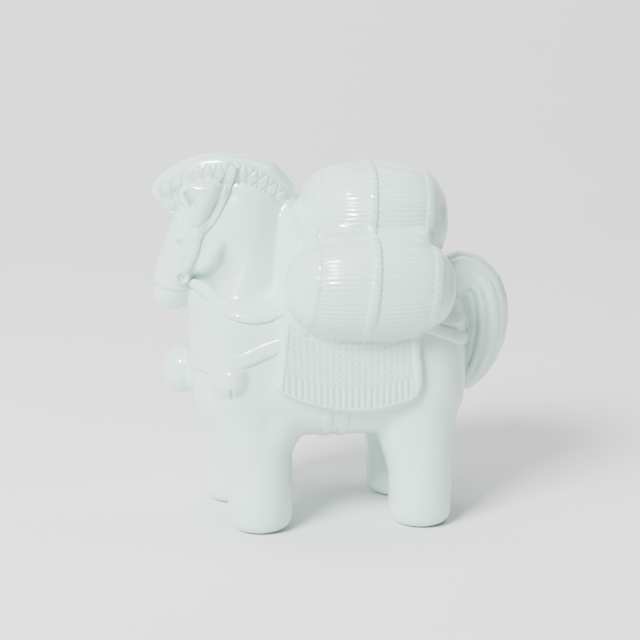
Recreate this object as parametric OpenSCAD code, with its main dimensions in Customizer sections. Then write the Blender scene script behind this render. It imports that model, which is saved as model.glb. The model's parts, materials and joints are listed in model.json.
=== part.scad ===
// Standing packhorse figurine in white glazed porcelain: a hollow slip cast
// horse with the harness, the saddle cloth and three tied straw bales luted on.
// The horse looks along -X, +Z is up, and its left side faces -Y.  The origin
// lies on the ground, under the middle of the whole figure.

/* [Barrel] */
// Half the width of the barrel at the height of the elbows
barrel_half_w = 28; // [27:0.5:29]
// Half the width of the barrel under the saddle
saddle_half_w = 26; // [24:0.5:27]
// Height of the belly above the ground
belly_z = 31; // [30:0.5:32.5]
// Height of the back above the ground
back_z = 85; // [83:0.5:86]
// Thickness of the cast wall
wall = 3.5; // [2.5:0.5:4]

/* [Legs] */
// Diameter of a leg
leg_d = 21.8; // [20.8:0.2:22.6]
// Sideways distance from the middle of the horse to the middle of a leg
leg_y = 17; // [16:0.5:18]
// Distance from the middle of the stance to the left front leg
front_leg_x = 27; // [26:0.5:28.5]
// Distance from the middle of the stance to the left hind leg
hind_leg_x = 27.5; // [26.5:0.5:28.5]
// How far the right front leg is set ahead of the left one
front_step = 6.2; // [3:0.2:6.6]
// How far the right hind leg is set ahead of the left one
hind_step = 2; // [1:0.2:4]
// Height at which a leg meets the body
leg_top = 26; // [24:0.5:27]
// Rounding around the foot
foot_round = 4.5; // [3:0.5:5.5]

/* [Pack] */
// Length of a side bale
side_bale_l = 55; // [52:1:56]
// Half height of a side bale
side_bale_rz = 16; // [15:0.2:16.6]
// Half thickness of a side bale
side_bale_ry = 15.5; // [14.5:0.5:16.5]
// Distance from the middle of the horse to the middle of a side bale
side_bale_y = 26; // [25:0.5:27]
// Length of the top bale
top_bale_l = 50; // [47:1:52]
// Half height of the top bale
top_bale_rz = 19; // [18:0.2:19.6]
// Half width of the top bale
top_bale_ry = 24; // [23:0.5:25]
// How square the ends of a bale are: 2 is an ellipse, more is squarer
bale_power = 2.8; // [2.1:0.1:3.2]
// Thickness of the binding rope
rope_d = 3; // [2.6:0.1:3.4]

/* [Tack] */
// How far the straps stand out from the horse
strap_t = 1.4; // [1.1:0.1:1.8]
// Width of the halter straps
halter_w = 2.8; // [2.4:0.1:3.2]
// Width of the reins
rein_w = 4.6; // [4:0.1:5.2]
// Width of the breast collar
collar_w = 6; // [5:0.2:6.6]
// Diameter of a side bell
bell_d = 12; // [10:0.2:12.4]
// Diameter of the bell at the front of the chest
front_bell_d = 14.4; // [12.6:0.2:14.8]
// Thickness of the saddle cloth
cloth_t = 3.4; // [2.6:0.2:3.8]
// Height of the lower edge of the saddle cloth
cloth_z = 42.8; // [42:0.2:45]

/* [Hidden] */

glaze = [0.93, 0.96, 0.96];
leg_r = leg_d / 2;
skin_fn = 26;    // facets around the ellipsoids that the skin is stretched over
hollow_fn = 16;  // the same for the inside of the casting
eps = 0.05;      // small overlap that keeps cuts clean
mid_x = 1.5;     // the middle of the whole length lies this far behind the stance
far_y = 60;      // more than half the width of the figure

// The barrel is stretched over one ellipsoid along the back and one along each
// lower edge, at four places from the chest to the rump.
barrel_rx = 16.2;
low_y = 13;
low_ry = barrel_half_w - low_y;
low_rz = 15.5;
low_z = belly_z + low_rz;
low_x = [-31.5, -10, 14, 28.5];
high_rz = 19;
high_z = back_z - high_rz;
high_x = [-32.5, -10, 14, 31];

// Stations: the middle and the three half sizes of the ellipsoids of the skin.
neck = [[-32, 0, 63, 16.2, 24, 20], [-31.5, 0, 78, 16.5, 19, 16],
    [-31, 0, 92, 16.8, 14.5, 14], [-30.5, 0, 104.5, 16.6, 11, 12.5]];
withers = [[-14, 0, 103, 5.5, 9, 7], [-12, 0, 92, 8, 19, 11], [-13, 0, 80, 9, 23, 12]];
head = [[-40, 0, 102, 12, 9.5, 11], [-46, 0, 95, 9.4, 10.5, 9.4],
    [-50.9, 0, 86, 7.8, 8.2, 8], [-53.3, 0, 79.4, 6.5, 7, 7.3]];
crest = [[-56.4, 0, 112.2, 3.4, 4, 3.6], [-53.2, 0, 114.6, 4.4, 5.4, 4.8],
    [-48.4, 0, 116.6, 5.4, 6.8, 5.6], [-42, 0, 118.6, 6, 7.8, 5.9],
    [-35, 0, 119.3, 6.5, 8.4, 5.9], [-28.5, 0, 118.3, 6.5, 8.4, 6.1],
    [-22.6, 0, 115.6, 6.7, 8, 6.6], [-17.4, 0, 111.2, 5.5, 7.4, 6.2]];
lock = [[-56.4, 0, 112.2, 3.4, 4, 3.6], [-52.6, 0, 108.4, 3, 4.4, 4],
    [-47, 0, 110, 4, 6, 5]];
tail_line = [[41, 0, 82, 5, 6.4, 7], [45, 0, 83.4, 5.6, 6.8, 7.4],
    [49.5, 0, 82.2, 6.6, 7, 7.4], [52.8, 0, 78.6, 7.6, 7.4, 7],
    [54.4, 0, 73.4, 8, 7.8, 7], [55, 0, 67, 8, 7.8, 7], [54.6, 0, 60.8, 7.6, 7.4, 6.8],
    [53, 0, 55, 6.6, 6.8, 6], [51.2, 0, 50, 5.4, 5.6, 5], [49.8, 0, 46.4, 3.8, 4.2, 4]];

// Lines of the tack, seen from the side as [x, z].
headstall_line = [[-34.5, 120], [-36.4, 114], [-38.2, 108.5], [-40.6, 103], [-45.2, 99.2]];
browband_line = [[-56, 109], [-53.2, 107], [-50.4, 102.9], [-45.2, 99.2]];
cheek_line = [[-45.2, 99.2], [-45, 95.3], [-46.7, 91], [-48.9, 87]];
bit = [-50.1, 84.5];
rein_line = [[-48, 82.6], [-44.5, 82.2], [-41.3, 79.9], [-38.2, 76.9], [-34.3, 74.3],
    [-30, 73], [-25.4, 72.5], [-14, 73.4]];
collar_line = [[-56, 57.6], [-48, 58.2], [-40.5, 57.6], [-35.3, 58.6], [-29, 60.8],
    [-24.6, 62.6], [-14, 65.4]];
upper_breeching = [[30, 73], [38, 71.2], [42, 70], [47, 69.4], [56, 69.4]];
upper_breeching_w = 5.2;
lower_breeching_w = 5;
lower_breeching = [[30, 69], [38, 66], [42, 63.9], [47, 62.6], [56, 62.4]];
girth_front_x = [-6.4, -1.6];
girth_rear_x = [-0.8, 3.8];
ring_d = 6.2;
side_bell_at = [-35.4, 23.4, 52.9];
front_bell_at = [-50.8, 0, 51.5];
bell_slit = 1.2;

// Places of the bales, and of the ropes along them.
side_bale_x = 10;
side_bale_z = 82.6;
top_bale_x = 14.5;
top_bale_z = 102.2;
side_rope_x = [-20, -3.3, 20];
top_rope_x = [-19.6, -4.2, 18.4];
rope_sunk = 0.5;    // how deep the middle of a rope lies under the skin of its bale
hidden_y = 20;      // the side ropes are bare outside this distance from the middle
hidden_z = 95;      // the top ropes are bare above this height

// ---- helpers -------------------------------------------------------------

module placed() { translate([-mid_x, 0, 0]) children(); }

module ball(s, grow, fn) {
    translate([s[0], s[1], s[2]])
        scale([s[3] + grow, s[4] + grow, s[5] + grow])
            sphere(1, $fn = fn);
}

// a skin stretched from each station to the next one
module stretch(line, grow, fn) {
    for (i = [0 : len(line) - 2]) hull() {
        ball(line[i], grow, fn);
        ball(line[i + 1], grow, fn);
    }
}

// the place where a leg grows out of the barrel
module leg_root(x, y, grow, fn) {
    hull() {
        translate([x, y, leg_top]) cylinder(r = leg_r + grow, h = 0.5, $fn = fn);
        ball([x - 1.8, sign(y) * 15, 44, 14.8, 12.6, 13], grow, fn);
    }
}

// the barrel alone
module barrel(grow, fn) {
    for (i = [0 : len(high_x) - 2]) hull()
        for (k = [i, i + 1]) {
            ball([high_x[k], 0, high_z, barrel_rx, saddle_half_w, high_rz], grow, fn);
            for (side = [-1, 1])
                ball([low_x[k], side * low_y, low_z, barrel_rx, low_ry, low_rz], grow, fn);
        }
}

// the skin of the horse, moved outwards by grow
module horse(grow, fn) {
    barrel(grow, fn);
    stretch(withers, grow, fn);
    stretch(neck, grow, fn);
    stretch(head, grow, fn);
    leg_root(-front_leg_x + mid_x, -leg_y, grow, fn);
    leg_root(-front_leg_x + mid_x - front_step, leg_y, grow, fn);
    leg_root(hind_leg_x + mid_x, -leg_y, grow, fn);
    leg_root(hind_leg_x + mid_x - hind_step, leg_y, grow, fn);
}

// a line of round ended strokes on the side view, pushed through in y
module side_stroke(line, w, y0, y1) {
    for (i = [0 : len(line) - 2]) hull()
        for (p = [line[i], line[i + 1]])
            translate([p[0], y0, p[1]]) rotate([-90, 0, 0])
                cylinder(d = w, h = y1 - y0, $fn = 16);
}

// the strip of leather thickness over the horse along a line on its side view
module strip(line, w, y0, y1) {
    intersection() {
        horse(strap_t, skin_fn);
        side_stroke(line, w, y0, y1);
    }
}

// a strap that hugs the horse
module strap(line, w, y0, y1) {
    difference() {
        strip(line, w, y0, y1);
        horse(0, skin_fn);
    }
}

// ---- the casting ---------------------------------------------------------

module horse_body() {
    color(glaze) placed() difference() {
        horse(0, skin_fn);
        horse(-wall, hollow_fn);
        for (s = [-1, 1]) translate([0, 0, leg_top - 1]) cube([200, 200, 2], center = true);
    }
}

// a round leg with a rounded foot, hollow and open towards the body
module leg(x, y) {
    inner_round = foot_round - 1;
    color(glaze) translate([x, y, 0]) difference() {
        rotate_extrude($fn = 96) leg_outline(leg_r, 0, foot_round);
        rotate_extrude($fn = 96) leg_outline(leg_r - wall, wall, inner_round);
    }
}

module leg_outline(r, z0, round) {
    h = leg_top - z0 + (z0 > 0 ? eps : 0);
    translate([0, z0]) square([r - round, h]);
    translate([0, z0 + round]) square([r, h - round]);
    translate([r - round, z0 + round]) circle(round, $fn = 64);
}

module leg_front_left() { leg(-front_leg_x, -leg_y); }
module leg_front_right() { leg(-front_leg_x - front_step, leg_y); }
module leg_hind_left() { leg(hind_leg_x, -leg_y); }
module leg_hind_right() { leg(hind_leg_x - hind_step, leg_y); }

module mane_solid() {
    stretch(crest, 0, 20);
    stretch(lock, 0, 20);
}

module mane_and_forelock() {
    color(glaze) placed() difference() {
        mane_solid();
        horse(0, skin_fn);
        // the headstall passes over the poll under the mane
        strip(headstall_line, halter_w, -far_y, far_y);
    }
}

module ear_solid(side) {
    hull() {
        ball([-44.8, side * 9.4, 103.4, 2.2, 2.4, 2.4], 0, 16);
        ball([-47.4, side * 9.4, 112.4, 2.6, 2.6, 3], 0, 16);
        ball([-41.2, side * 9.6, 112.8, 2.6, 2.6, 3], 0, 16);
    }
}

module ear(side) {
    color(glaze) placed() difference() {
        ear_solid(side);
        horse(0, skin_fn);
        mane_solid();
        // the open hollow of the ear looks forwards and outwards
        hull() {
            ball([-47.6, side * 12.4, 112, 1.4, 2, 2.2], 0, 12);
            ball([-45.6, side * 12.4, 107, 1.1, 2, 2], 0, 12);
        }
    }
}

module ear_left() { ear(-1); }
module ear_right() { ear(1); }

module tail_solid() { stretch(tail_line, 0, 20); }

module tail() {
    color(glaze) placed() difference() {
        tail_solid();
        horse(0, skin_fn);
        bale(side_bale_x, -side_bale_y, side_bale_z, side_bale_l, side_bale_ry, side_bale_rz);
        bale(side_bale_x, side_bale_y, side_bale_z, side_bale_l, side_bale_ry, side_bale_rz);
        bale(top_bale_x, 0, top_bale_z, top_bale_l, top_bale_ry, top_bale_rz);
        // the breeching passes around the haunches under the tail
        strip(upper_breeching, upper_breeching_w, -far_y, far_y);
        strip(lower_breeching, lower_breeching_w, -far_y, far_y);
    }
}

// ---- the halter and the reins --------------------------------------------

module headstall() {
    color(glaze) placed() difference() {
        strap(headstall_line, halter_w, -far_y, far_y);
        ear_solid(-1);
        ear_solid(1);
        junction_cut();
    }
}

// the rosette where the halter straps meet, kept with the browband
module junction_cut() {
    translate([-45.2, -far_y, 99.2]) rotate([-90, 0, 0])
        cylinder(d = halter_w * 1.3, h = 2 * far_y, $fn = 24);
}

module browband() {
    color(glaze) placed() difference() {
        intersection() {
            horse(strap_t, skin_fn);
            union() {
                side_stroke(browband_line, halter_w, -far_y, far_y);
                junction_cut();
            }
        }
        horse(0, skin_fn);
        mane_solid();
        ear_solid(-1);
        ear_solid(1);
    }
}

module cheek_strap(side) {
    color(glaze) placed() difference() {
        strap(cheek_line, halter_w, side > 0 ? 0 : -far_y, side > 0 ? far_y : 0);
        junction_cut();
        ring_space(side);
    }
}

module cheek_strap_left() { cheek_strap(-1); }
module cheek_strap_right() { cheek_strap(1); }

module ring_space(side) {
    translate([bit[0], 0, bit[1]]) rotate([side > 0 ? -90 : 90, 0, 0])
        cylinder(d = ring_d, h = far_y, $fn = 32);
}

module bit_ring(side) {
    color(glaze) placed() difference() {
        intersection() {
            horse(strap_t + 0.5, skin_fn);
            ring_space(side);
        }
        horse(0, skin_fn);
        // the eye of the ring
        translate([bit[0], side * (8.2 + strap_t + 1), bit[1]]) scale([1, 1.4, 1])
            sphere(d = 2.4, $fn = 16);
    }
}

module bit_ring_left() { bit_ring(-1); }
module bit_ring_right() { bit_ring(1); }

module rein(side) {
    color(glaze) placed() difference() {
        strap(rein_line, rein_w, side > 0 ? 0 : -far_y, side > 0 ? far_y : 0);
        ring_space(side);
        cloth_panel();
        side_bales(0);
    }
}

module rein_left() { rein(-1); }
module rein_right() { rein(1); }

// ---- the breast collar and the bells -------------------------------------

module breast_collar() {
    color(glaze) placed() difference() {
        strap(collar_line, collar_w, -far_y, far_y);
        cloth_panel();
        for (side = [-1, 1]) side_bell(side);
        front_bell();
    }
}

module side_bell(side) {
    r = bell_d / 2;
    ball([side_bell_at[0], side * side_bell_at[1], side_bell_at[2], r, r, r], 0, 28);
}

module front_bell() {
    r = front_bell_d / 2;
    ball(concat(front_bell_at, [r - 1.2, r, r + 0.5]), 0, 28);
}

// a round bell with a slit along its lower half
module bell_left() { bell_piece(-1); }
module bell_right() { bell_piece(1); }

module bell_piece(side) {
    color(glaze) placed() difference() {
        side_bell(side);
        horse(0, skin_fn);
        translate([side_bell_at[0], side * 29, side_bell_at[2] - 4])
            cube([bell_slit, 5, 6], center = true);
    }
}

module bell_front() {
    color(glaze) placed() difference() {
        front_bell();
        horse(0, skin_fn);
        translate([-56, 0, 49.6]) cube([4, 14, bell_slit], center = true);
    }
}

// ---- the saddle cloth, the girth and the breeching -----------------------

// the outline of the cloth on the side view, pushed through in y
module cloth_panel() {
    hull() {
        for (p = [[-18, cloth_z + 7.4], [24.2, cloth_z + 7]])
            translate([p[0], -far_y, p[1]]) rotate([-90, 0, 0])
                cylinder(r = 3.2, h = 2 * far_y, $fn = 24);
        for (p = [[-4, cloth_z + 3], [12, cloth_z + 3]])
            translate([p[0], -far_y, p[1]]) rotate([-90, 0, 0])
                cylinder(r = 3, h = 2 * far_y, $fn = 24);
        translate([-18.4, -far_y, 80]) cube([1, 2 * far_y, 1]);
        translate([-12, -far_y, 91]) cube([36.4, 2 * far_y, 1]);
    }
}

module saddle_cloth() {
    color(glaze) placed() difference() {
        intersection() {
            barrel(cloth_t, skin_fn);
            cloth_panel();
        }
        horse(0, skin_fn);
    }
}

module girth(span) {
    color(glaze) placed() difference() {
        intersection() {
            horse(strap_t, skin_fn);
            translate([span[0], -far_y, 0]) cube([span[1] - span[0], 2 * far_y, 60]);
        }
        horse(0, skin_fn);
        cloth_panel();
    }
}

module girth_front() { girth(girth_front_x); }
module girth_rear() { girth(girth_rear_x); }

module breeching(line, w) {
    color(glaze) placed() difference() {
        strap(line, w, -far_y, far_y);
        side_bales(0);
        cloth_panel();
    }
}

module breeching_upper() { breeching(upper_breeching, upper_breeching_w); }
module breeching_lower() { breeching(lower_breeching, lower_breeching_w); }

// ---- the bales and their ropes -------------------------------------------

// radius of a bale at t, where t runs from -1 at one end to 1 at the other
function bale_r(t) = pow(max(0, 1 - pow(abs(t), bale_power)), 1 / bale_power);

// a bale lying along x
module bale(x, y, z, l, ry, rz, fn = 36) {
    steps = 18;
    pts = [for (i = [0 : steps]) let (a = -90 + 180 * i / steps, t = sin(a))
        [bale_r(t), t]];
    translate([x, y, z]) scale([l / 2, ry, rz]) rotate([0, 90, 0])
        rotate_extrude($fn = fn) polygon(concat([[0, -1]], pts, [[0, 1]]));
}

module side_bales(grow) {
    for (side = [-1, 1])
        bale(side_bale_x, side * side_bale_y, side_bale_z,
            side_bale_l + 2 * grow, side_bale_ry + grow, side_bale_rz + grow);
}

module bale_side(side) {
    color(glaze) placed() difference() {
        bale(side_bale_x, side * side_bale_y, side_bale_z,
            side_bale_l, side_bale_ry, side_bale_rz);
        horse(0, skin_fn);
        barrel(cloth_t, skin_fn);
    }
}

module bale_left() { bale_side(-1); }
module bale_right() { bale_side(1); }

module bale_top() {
    color(glaze) placed() difference() {
        bale(top_bale_x, 0, top_bale_z, top_bale_l, top_bale_ry, top_bale_rz);
        side_bales(0);
        horse(0, skin_fn);
        barrel(cloth_t, skin_fn);
    }
}

// a rope bound around a bale, dx from its middle
module rope(x, y, z, l, ry, rz, dx) {
    k = bale_r(dx / (l / 2));
    translate([x + dx, y, z]) scale([1, ry * k - rope_sunk, rz * k - rope_sunk])
        rotate([0, 90, 0])
        rotate_extrude($fn = 36) translate([1, 0])
            scale([1 / rz, 1]) circle(d = rope_d, $fn = 10);
}

module rope_side(side, dx) {
    color(glaze) placed() difference() {
        rope(side_bale_x, side * side_bale_y, side_bale_z,
            side_bale_l, side_bale_ry, side_bale_rz, dx);
        side_bales(0);
        bale(top_bale_x, 0, top_bale_z, top_bale_l, top_bale_ry, top_bale_rz);
        horse(0, skin_fn);
        barrel(cloth_t, skin_fn);
        // nothing is bound where the bale rests against the horse
        translate([0, 0, back_z]) cube([200, 2 * hidden_y, 60], center = true);
    }
}

module rope_on_top(dx) {
    color(glaze) placed() difference() {
        rope(top_bale_x, 0, top_bale_z, top_bale_l, top_bale_ry, top_bale_rz, dx);
        bale(top_bale_x, 0, top_bale_z, top_bale_l, top_bale_ry, top_bale_rz);
        side_bales(0);
        horse(0, skin_fn);
        // nothing is bound where the bale rests on the side bales
        translate([0, 0, hidden_z - 30]) cube([200, 80, 60], center = true);
    }
}

module rope_left_front() { rope_side(-1, side_rope_x[0]); }
module rope_left_middle() { rope_side(-1, side_rope_x[1]); }
module rope_left_rear() { rope_side(-1, side_rope_x[2]); }
module rope_right_front() { rope_side(1, side_rope_x[0]); }
module rope_right_middle() { rope_side(1, side_rope_x[1]); }
module rope_right_rear() { rope_side(1, side_rope_x[2]); }
module rope_top_front() { rope_on_top(top_rope_x[0]); }
module rope_top_middle() { rope_on_top(top_rope_x[1]); }
module rope_top_rear() { rope_on_top(top_rope_x[2]); }

horse_body();
leg_front_left();
leg_front_right();
leg_hind_left();
leg_hind_right();
mane_and_forelock();
ear_left();
ear_right();
tail();
headstall();
browband();
cheek_strap_left();
cheek_strap_right();
bit_ring_left();
bit_ring_right();
rein_left();
rein_right();
breast_collar();
bell_left();
bell_front();
bell_right();
saddle_cloth();
girth_front();
girth_rear();
breeching_upper();
breeching_lower();
bale_left();
bale_right();
bale_top();
rope_left_front();
rope_left_middle();
rope_left_rear();
rope_right_front();
rope_right_middle();
rope_right_rear();
rope_top_front();
rope_top_middle();
rope_top_rear();
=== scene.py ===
# %% [markdown]
# # A white porcelain packhorse
# The real object is a slip cast porcelain figurine: a hollow horse, with a mane, ears, a tail,
# a halter, reins, a collar with three bells, a saddle cloth and three tied bales of straw.
# Everything is stuck on with liquid clay and then drowned in one thick, clear glaze.
# So there are no sharp edges anywhere: every joint is a soft little valley.
#
# The plan of this lesson is the potter's own order.
# 1. Rough lumps are set up for every mass, from balls and wrapped skins.
# 2. One glaze skin is drawn over all the lumps, which makes the soft valleys.
# 3. The skin is cut apart again along the joints, so every mass is a piece of its own.
# 4. Fine relief is pressed in: straw, hair, weave, fringe, eyes and mouth.
# 5. Straps and ropes are laid over the skin, and every open border is closed.
# 6. Everything gets its glaze and is set on a pale sheet under soft light.

# %% Load the frame
import bpy, bmesh, json, math
import numpy as np
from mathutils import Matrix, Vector
from mathutils.bvhtree import BVHTree
from mathutils.kdtree import KDTree

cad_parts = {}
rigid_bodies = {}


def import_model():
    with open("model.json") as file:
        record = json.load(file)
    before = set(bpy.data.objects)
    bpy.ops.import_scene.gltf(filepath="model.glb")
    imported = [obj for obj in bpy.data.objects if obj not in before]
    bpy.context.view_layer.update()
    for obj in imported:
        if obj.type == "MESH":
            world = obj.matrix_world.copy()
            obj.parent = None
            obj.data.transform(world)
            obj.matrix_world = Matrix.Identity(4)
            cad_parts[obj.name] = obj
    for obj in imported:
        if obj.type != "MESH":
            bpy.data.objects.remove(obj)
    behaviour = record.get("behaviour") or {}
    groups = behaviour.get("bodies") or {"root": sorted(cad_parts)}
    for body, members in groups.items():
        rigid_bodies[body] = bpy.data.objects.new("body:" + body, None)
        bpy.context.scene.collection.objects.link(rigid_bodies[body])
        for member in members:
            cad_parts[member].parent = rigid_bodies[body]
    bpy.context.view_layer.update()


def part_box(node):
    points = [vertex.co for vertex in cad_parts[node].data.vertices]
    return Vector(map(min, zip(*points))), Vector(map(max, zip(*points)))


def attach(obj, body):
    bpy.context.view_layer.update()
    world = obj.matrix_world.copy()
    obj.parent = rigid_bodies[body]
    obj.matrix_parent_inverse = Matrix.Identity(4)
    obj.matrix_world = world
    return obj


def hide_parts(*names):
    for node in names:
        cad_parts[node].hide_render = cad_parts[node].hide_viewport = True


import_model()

# %% [markdown]
# ## Small helpers
# Most of Blender's tools act on whatever is selected, so each step first clears the selection
# and then picks its own objects. All sizes are written in millimetres and turned into metres
# at the last moment. The design is drawn from the middle of the four feet, and the frame's
# origin is the middle of the whole length, so x is shifted by the difference.

# %% Helpers for picking and finishing
MM = 0.001
SHIFT = -1.5  # mm, from the middle of the stance to the frame's origin


def pick(*objects):
    """Select only these objects; the first is the active one."""
    if bpy.context.object and bpy.context.object.mode != "OBJECT":
        bpy.ops.object.mode_set(mode="OBJECT")
    bpy.ops.object.select_all(action="DESELECT")
    for o in objects:
        o.select_set(True)
    bpy.context.view_layer.objects.active = objects[0]
    return objects[0]


def at(x, y, z):
    """A point of the design in millimetres, as metres in the frame."""
    return ((x + SHIFT) * MM, y * MM, z * MM)


def apply_all(o):
    """Apply every modifier of o, from the top down."""
    pick(o)
    for m in list(o.modifiers):
        bpy.ops.object.modifier_apply(modifier=m.name)


def modifier(o, name, kind, **settings):
    """Add a modifier with its settings; it is applied later."""
    m = o.modifiers.new(name, kind)
    for key, value in settings.items():
        setattr(m, key, value)


def weigh(o, name, weights):
    """Paint a vertex group; where the weight is 0 nothing is painted."""
    group = o.vertex_groups.new(name=name)
    for i in np.nonzero(weights)[0]:
        group.add([int(i)], float(weights[i]), "REPLACE")


def join(objects, name):
    """Join several objects into one and name it."""
    o = pick(*objects)
    if len(objects) > 1:
        bpy.ops.object.join()
    o.name = name
    o.data.name = name
    return o


def places(o):
    """The vertices of o as an array, in millimetres of the design."""
    co = np.empty(len(o.data.vertices) * 3, np.float32)
    o.data.vertices.foreach_get("co", co)
    return co.reshape(-1, 3) / MM - np.array([SHIFT, 0, 0])


# %% [markdown]
# ## Lumps of clay
# A lump is a row of balls with a skin wrapped tightly around each pair, which is the
# Convex Hull tool in edit mode. It is the fastest way to block out a plump animal, because
# moving one ball moves one part of the body. Each row of numbers is the middle of a ball
# and its three half sizes, in millimetres.

# %% Balls and wrapped skins
BALL_RINGS = 16


def ball(x, y, z, rx, ry, rz):
    """A ball at (x, y, z) with its three half sizes."""
    bpy.ops.mesh.primitive_uv_sphere_add(segments=2 * BALL_RINGS, ring_count=BALL_RINGS, radius=1,
                                         location=at(x, y, z), scale=(rx * MM, ry * MM, rz * MM))
    bpy.ops.object.transform_apply(location=True, rotation=True, scale=True)
    return bpy.context.object


def wrap(balls):
    """Wrap one tight skin around several balls."""
    o = join(balls, "wrap")
    bpy.ops.object.mode_set(mode="EDIT")
    bpy.ops.mesh.select_all(action="SELECT")
    bpy.ops.mesh.convex_hull()
    bpy.ops.object.mode_set(mode="OBJECT")
    return o


def lump(name, row):
    """A lump that follows a row of balls."""
    skins = [wrap([ball(*row[i]), ball(*row[i + 1])]) for i in range(len(row) - 1)]
    return join(skins, name)


# %% [markdown]
# ## The horse
# The barrel is stretched over one ball along the back and one along each lower edge, so its
# sides hang straight and its belly is broad. The neck is thick and flat-sided, and the head
# hangs down in front of it until the chin almost meets the chest. The withers fill the corner
# between the neck and the load.

# %% Barrel, neck and head
BELLY_Z, BACK_Z = 31, 85
BARREL_X = ((-32.5, -31.5), (-10, -10), (14, 14), (31, 28.5))  # the high and the low balls
BACK_BALL = (16.2, 26, 19)  # mm, half sizes of a ball along the back
EDGE_BALL = (16.2, 15, 15.5)  # mm, half sizes of a ball along a lower edge
EDGE_Y = 13  # mm, from the middle plane to the balls of a lower edge


def barrel_lump(grow=0):
    """The barrel; with grow, a barrel that is fatter by so many millimetres all round."""
    back = [r + grow for r in BACK_BALL]
    edge = [r + grow for r in EDGE_BALL]
    skins = []
    for pair in zip(BARREL_X, BARREL_X[1:]):
        balls = []
        for high_x, low_x in pair:
            balls.append(ball(high_x, 0, BACK_Z - BACK_BALL[2], *back))
            for side in (-1, 1):
                balls.append(ball(low_x, side * EDGE_Y, BELLY_Z + EDGE_BALL[2], *edge))
        skins.append(wrap(balls))
    return join(skins, "barrel")


barrel = barrel_lump()
withers = lump("withers", [(-14, 0, 103, 5.5, 9, 7), (-12, 0, 92, 8, 19, 11), (-13, 0, 80, 9, 23, 12)])
neck = lump("neck", [(-32, 0, 63, 16.2, 24, 20), (-31.5, 0, 78, 16.5, 19, 16),
                     (-31, 0, 92, 16.8, 14.5, 14), (-30.5, 0, 104.5, 16.6, 11, 12.5)])
head = lump("head", [(-40, 0, 102, 12, 9.5, 11), (-46, 0, 95, 9.4, 10.5, 9.4),
                     (-51, 0, 86, 7.9, 8.4, 8.2), (-53.3, 0, 79.4, 6.8, 7.2, 7.5)])
print("barrel, neck and head:", len(barrel.data.vertices), len(neck.data.vertices), len(head.data.vertices))

# %% [markdown]
# ## Legs
# The legs are plain round posts with a rounded foot. A cylinder is added at the place of the
# CAD leg, its lower rim is picked by height and bevelled. Two wrapped skins from the post up
# into the barrel make the shoulder and the arch between the legs, so the leg flares upwards.

# %% Four legs
FOOT_ROUND = 4.5  # mm, how far the rim of the foot is rounded
POST_MORE = 6  # mm, how far the post runs on up into the barrel
ROOT_Y = 15  # mm, from the middle plane to where a leg grows out


def leg(node, side):
    """A post at the place of a CAD leg, with its shoulder and its half of the arch."""
    low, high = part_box(node)
    middle = (low + high) / 2
    r = (high.x - low.x) / 2
    bpy.ops.mesh.primitive_cylinder_add(vertices=64, radius=r, depth=high.z - low.z + POST_MORE * MM,
                                        location=(middle.x, middle.y, middle.z + POST_MORE / 2 * MM))
    bpy.ops.object.transform_apply(location=True, rotation=True, scale=True)
    post = bpy.context.object
    bpy.ops.object.mode_set(mode="EDIT")
    bpy.ops.mesh.select_all(action="DESELECT")
    bpy.ops.mesh.select_mode(type="EDGE")
    bm = bmesh.from_edit_mesh(post.data)
    for e in bm.edges:
        e.select_set(all(v.co.z < 0.1 * MM for v in e.verts))
    bmesh.update_edit_mesh(post.data)
    bpy.ops.mesh.bevel(offset=FOOT_ROUND * MM, segments=8)
    bpy.ops.object.mode_set(mode="OBJECT")
    x = middle.x / MM - SHIFT
    y = middle.y / MM
    flat = (r / MM, r / MM, 1.5)  # a flat ball as wide as the post
    ahead = 4 if node == "leg_front_left" else 1.8  # the shoulder lies ahead of the post
    shoulder = wrap([ball(x, y, 17, *flat), ball(x - ahead, side * ROOT_Y, 44, 14.8, 12.6, 13)])
    rim_z = 27 if x < 0 else 19  # the arch starts higher in front
    inwards = math.copysign(5.5, x)
    arch = wrap([ball(x, y, rim_z, *flat), ball(x - inwards, side * ROOT_Y, 39, 12, 12, 8)])
    return [post, shoulder, arch]


legs = leg("leg_front_left", -1) + leg("leg_front_right", 1)
legs += leg("leg_hind_left", -1) + leg("leg_hind_right", 1)
horse = join([barrel, withers, neck, head] + legs, "horse")
print("horse lump:", len(horse.data.vertices), "vertices")

# %% [markdown]
# ## Mane, forelock, ears and tail
# The mane is one thick crest that rolls over the brow into the forelock. The ears are leaves
# that lie against it. The tail rises from the croup, turns over in an arc and comes to rest
# against the hind legs.

# %% Crest, ears and tail
crest = lump("crest", [(-56.4, 0, 112.2, 3.4, 4, 3.6), (-53.2, 0, 114.6, 4.4, 5.4, 4.8),
                       (-48.4, 0, 116.6, 5.4, 6.8, 5.6), (-42, 0, 118.6, 6, 7.8, 5.9),
                       (-35, 0, 119.3, 6.5, 8.4, 5.9), (-28.5, 0, 118.3, 6.5, 8.4, 6.1),
                       (-22.4, 0, 115.8, 7, 8, 6.8), (-17.2, 0, 111.4, 5.8, 7.4, 6.4)])
lock = lump("lock", [(-56.4, 0, 112.2, 3.4, 4, 3.6), (-52.6, 0, 108.4, 3, 4.4, 4), (-47, 0, 110, 4, 6, 5)])
mane = join([crest, lock], "mane")
ears = {}
for side, word in ((-1, "left"), (1, "right")):
    ears[word] = wrap([ball(-44.8, side * 9.6, 103.2, 2.4, 2.8, 2.8),
                       ball(-47.8, side * 9.6, 112.4, 3.2, 3, 3.4),
                       ball(-40.6, side * 9.8, 112.8, 3.2, 3, 3.4)])
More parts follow.
